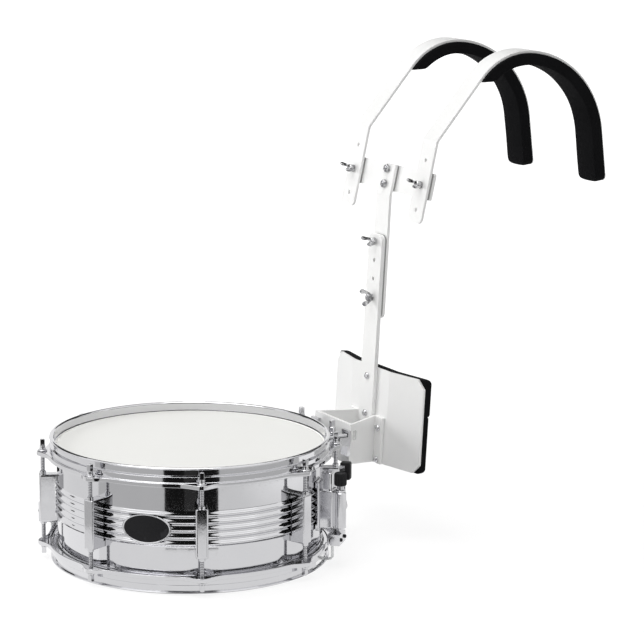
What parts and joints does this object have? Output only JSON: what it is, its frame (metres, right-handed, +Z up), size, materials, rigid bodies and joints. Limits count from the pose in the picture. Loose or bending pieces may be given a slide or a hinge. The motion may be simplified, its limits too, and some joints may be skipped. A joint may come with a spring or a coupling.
{
  "type": "marching snare drum",
  "caption": "Chrome snare drum clamped at its upper hoop to a white flat-bar shoulder carrier with black foam arches, a belly plate and a sliding upright.",
  "frame": {"origin": "bottom centre of the whole object's box, on the plane that the lower hoop stands on", "axes": "+Z up along the drum's axis, +Y from the drum towards the wearer and the straps, +X to the wearer's left when the carrier is worn"},
  "size_m": [0.381, 0.7812, 0.6648],
  "materials": {
    "chrome": "bright mirror chrome plate",
    "wire": "plain steel wire",
    "batter_film": "white coated film, matt and faintly grained",
    "snare_film": "thin hazy film",
    "badge_black": "bare black oval plate with a pale rim",
    "knob_black": "moulded, fluted",
    "lever_black": "moulded grip",
    "white_coat": "white powder coat on flat bar and sheet",
    "liner_grey": "thin grey liner",
    "pad_foam": "closed foam, black, matt"
  },
  "bodies": {
    "drum": {"shell": "chrome", "badge": "badge_black", "batter_head": "batter_film", "snare_head": "snare_film", "batter_hoop": "chrome", "snare_hoop": "chrome", "lug_1": "chrome", "lug_2": "chrome", "lug_3": "chrome", "lug_4": "chrome", "lug_5": "chrome", "lug_6": "chrome", "lug_7": "chrome", "lug_8": "chrome", "strainer_body": "chrome", "butt_plate": "chrome", "bracket": "white_coat", "claw_left": "chrome", "claw_right": "chrome", "claw_jaw_left": "chrome", "claw_jaw_right": "chrome", "belly_plate": "white_coat", "belly_pad": "pad_foam", "lower_upright": "white_coat", "upright_liner": "liner_grey"},
    "yoke": {"upper_upright": "white_coat", "cross_plate": "white_coat", "cross_liner": "liner_grey", "strap_liner_left": "liner_grey", "strap_liner_right": "liner_grey"},
    "strap_left": {"shoulder_strap_left": "white_coat", "shoulder_pad_left": "pad_foam"},
    "strap_right": {"shoulder_strap_right": "white_coat", "shoulder_pad_right": "pad_foam"},
    "strainer_lever": {"strainer_lever": "lever_black"},
    "strainer_slide": {"strainer_slide": "chrome"},
    "strainer_knob": {"strainer_knob": "knob_black"},
    "snare_wires": {"snare_wires": "wire"},
    "strap_wing_screw_left": {"strap_wing_screw_left": "chrome"},
    "claw_screw_left": {"claw_screw_left": "chrome"},
    "strap_wing_screw_right": {"strap_wing_screw_right": "chrome"},
    "claw_screw_right": {"claw_screw_right": "chrome"},
    "upright_wing_screw_1": {"upright_wing_screw_1": "chrome"},
    "upright_wing_screw_2": {"upright_wing_screw_2": "chrome"},
    "batter_rod_1": {"batter_rod_1": "chrome"},
    "batter_rod_2": {"batter_rod_2": "chrome"},
    "batter_rod_3": {"batter_rod_3": "chrome"},
    "batter_rod_4": {"batter_rod_4": "chrome"},
    "batter_rod_5": {"batter_rod_5": "chrome"},
    "batter_rod_6": {"batter_rod_6": "chrome"},
    "batter_rod_7": {"batter_rod_7": "chrome"},
    "batter_rod_8": {"batter_rod_8": "chrome"},
    "snare_rod_1": {"snare_rod_1": "chrome"},
    "snare_rod_2": {"snare_rod_2": "chrome"},
    "snare_rod_3": {"snare_rod_3": "chrome"},
    "snare_rod_4": {"snare_rod_4": "chrome"},
    "snare_rod_5": {"snare_rod_5": "chrome"},
    "snare_rod_6": {"snare_rod_6": "chrome"},
    "snare_rod_7": {"snare_rod_7": "chrome"},
    "snare_rod_8": {"snare_rod_8": "chrome"}
  },
  "joints": [
    {"name": "strainer_lever_turn", "type": "hinge", "parent": "drum", "child": "strainer_lever", "pos_m": [0.14672, -0.05339, 0.08], "axis": [-0.7071, 0.7071, 0], "range_deg": [0, 100]},
    {"name": "strainer_slide_drop", "type": "slide", "parent": "drum", "child": "strainer_slide", "axis": [0, 0, 1], "range_m": [-0.0045, 0]},
    {"name": "snare_wires_drop", "type": "hinge", "parent": "drum", "child": "snare_wires", "pos_m": [-0.14291, -0.34303, 0.034], "axis": [-0.7071, 0.7071, 0], "range_deg": [0, 0.6474]},
    {"name": "strainer_knob_turn", "type": "hinge", "parent": "drum", "child": "strainer_knob", "pos_m": [0.14672, -0.05339, 0.101], "axis": [0, 0, 1], "continuous": true},
    {"name": "yoke_slide", "type": "slide", "parent": "drum", "child": "yoke", "axis": [0, 0.0558, 0.9984], "range_m": [-0.004, 0.016]},
    {"name": "strap_swivel_left", "type": "hinge", "parent": "yoke", "child": "strap_left", "pos_m": [-0.0885, 0.09994, 0.49031], "axis": [0, 0.9767, -0.2147], "range_deg": [-12, 12]},
    {"name": "strap_wing_screw_turn_left", "type": "hinge", "parent": "yoke", "child": "strap_wing_screw_left", "pos_m": [-0.0885, 0.09994, 0.49031], "axis": [0, 0.9767, -0.2147], "continuous": true},
    {"name": "claw_screw_turn_left", "type": "hinge", "parent": "drum", "child": "claw_screw_left", "pos_m": [-0.0425, -0.00648, 0.1511], "axis": [0, 0, 1], "continuous": true},
    {"name": "strap_swivel_right", "type": "hinge", "parent": "yoke", "child": "strap_right", "pos_m": [0.0885, 0.09994, 0.49031], "axis": [0, 0.9767, -0.2147], "range_deg": [-12, 12]},
    {"name": "strap_wing_screw_turn_right", "type": "hinge", "parent": "yoke", "child": "strap_wing_screw_right", "pos_m": [0.0885, 0.09994, 0.49031], "axis": [0, 0.9767, -0.2147], "continuous": true},
    {"name": "claw_screw_turn_right", "type": "hinge", "parent": "drum", "child": "claw_screw_right", "pos_m": [0.0425, -0.00648, 0.1511], "axis": [0, 0, 1], "continuous": true},
    {"name": "upright_wing_screw_turn_1", "type": "hinge", "parent": "drum", "child": "upright_wing_screw_1", "pos_m": [0, 0.0833, 0.40232], "axis": [0, 0.9984, -0.0558], "continuous": true},
    {"name": "upright_wing_screw_turn_2", "type": "hinge", "parent": "drum", "child": "upright_wing_screw_2", "pos_m": [0, 0.07897, 0.32475], "axis": [0, 0.9984, -0.0558], "continuous": true},
    {"name": "batter_rod_turn_1", "type": "hinge", "parent": "drum", "child": "batter_rod_1", "pos_m": [0.07482, -0.38074, 0.1468], "axis": [0, 0, 1], "continuous": true},
    {"name": "batter_rod_turn_2", "type": "hinge", "parent": "drum", "child": "batter_rod_2", "pos_m": [0.18062, -0.27493, 0.1468], "axis": [0, 0, 1], "continuous": true},
    {"name": "batter_rod_turn_3", "type": "hinge", "parent": "drum", "child": "batter_rod_3", "pos_m": [0.18062, -0.12531, 0.1468], "axis": [0, 0, 1], "continuous": true},
    {"name": "batter_rod_turn_4", "type": "hinge", "parent": "drum", "child": "batter_rod_4", "pos_m": [0.07482, -0.0195, 0.1468], "axis": [0, 0, 1], "continuous": true},
    {"name": "batter_rod_turn_5", "type": "hinge", "parent": "drum", "child": "batter_rod_5", "pos_m": [-0.07482, -0.0195, 0.1468], "axis": [0, 0, 1], "continuous": true},
    {"name": "batter_rod_turn_6", "type": "hinge", "parent": "drum", "child": "batter_rod_6", "pos_m": [-0.18062, -0.12531, 0.1468], "axis": [0, 0, 1], "continuous": true},
    {"name": "batter_rod_turn_7", "type": "hinge", "parent": "drum", "child": "batter_rod_7", "pos_m": [-0.18062, -0.27493, 0.1468], "axis": [0, 0, 1], "continuous": true},
    {"name": "batter_rod_turn_8", "type": "hinge", "parent": "drum", "child": "batter_rod_8", "pos_m": [-0.07482, -0.38074, 0.1468], "axis": [0, 0, 1], "continuous": true},
    {"name": "snare_rod_turn_1", "type": "hinge", "parent": "drum", "child": "snare_rod_1", "pos_m": [0.07482, -0.38074, 0.0192], "axis": [0, 0, -1], "continuous": true},
    {"name": "snare_rod_turn_2", "type": "hinge", "parent": "drum", "child": "snare_rod_2", "pos_m": [0.18062, -0.27493, 0.0192], "axis": [0, 0, -1], "continuous": true},
    {"name": "snare_rod_turn_3", "type": "hinge", "parent": "drum", "child": "snare_rod_3", "pos_m": [0.18062, -0.12531, 0.0192], "axis": [0, 0, -1], "continuous": true},
    {"name": "snare_rod_turn_4", "type": "hinge", "parent": "drum", "child": "snare_rod_4", "pos_m": [0.07482, -0.0195, 0.0192], "axis": [0, 0, -1], "continuous": true},
    {"name": "snare_rod_turn_5", "type": "hinge", "parent": "drum", "child": "snare_rod_5", "pos_m": [-0.07482, -0.0195, 0.0192], "axis": [0, 0, -1], "continuous": true},
    {"name": "snare_rod_turn_6", "type": "hinge", "parent": "drum", "child": "snare_rod_6", "pos_m": [-0.18062, -0.12531, 0.0192], "axis": [0, 0, -1], "continuous": true},
    {"name": "snare_rod_turn_7", "type": "hinge", "parent": "drum", "child": "snare_rod_7", "pos_m": [-0.18062, -0.27493, 0.0192], "axis": [0, 0, -1], "continuous": true},
    {"name": "snare_rod_turn_8", "type": "hinge", "parent": "drum", "child": "snare_rod_8", "pos_m": [-0.07482, -0.38074, 0.0192], "axis": [0, 0, -1], "continuous": true}
  ],
  "couplings": [
    {"joint": "strainer_slide_drop", "follows": "strainer_lever_turn", "m_per_rad": -0.0025654},
    {"joint": "snare_wires_drop", "follows": "strainer_lever_turn", "ratio": 0.0063469}
  ]
}
